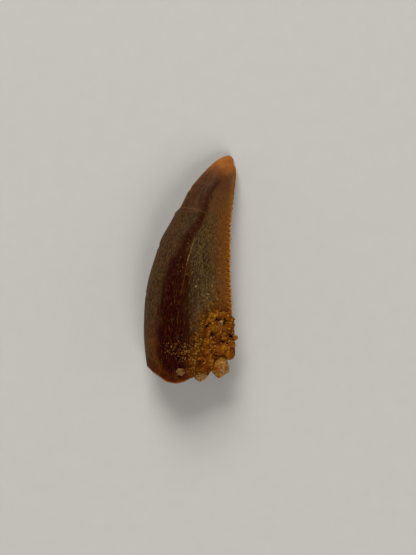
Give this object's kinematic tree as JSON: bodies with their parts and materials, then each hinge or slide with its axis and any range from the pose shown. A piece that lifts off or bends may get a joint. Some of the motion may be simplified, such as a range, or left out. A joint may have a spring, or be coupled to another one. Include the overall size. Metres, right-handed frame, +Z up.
{
  "type": "fossil abelisaurid tooth",
  "caption": "Shed, serrated fossil tooth of a meat-eating dinosaur lying on its side, with sandstone and quartz sand grains cemented over the lower back corner.",
  "frame": {"origin": "on the surface that the tooth lies on, under the middle of the whole", "axes": "+Y along the tooth towards its apex, +X towards its serrated back edge, +Z up out of the face that is looked at"},
  "size_m": [0.0084, 0.02, 0.0041],
  "materials": {
    "enamel": "semi-gloss fossil enamel, dark reddish brown with an amber apex and back edge",
    "sandstone": "matt, granular ochre sandstone",
    "quartz": "cloudy, slightly translucent quartz with iron stains"
  },
  "bodies": {
    "root": {"tooth_crown": "enamel", "sandstone_crust": "sandstone", "quartz_grain_large": "quartz", "quartz_grain_middle": "quartz", "quartz_grain_left": "quartz", "quartz_grain_edge": "quartz", "quartz_grain_upper": "quartz"}
  },
  "joints": []
}
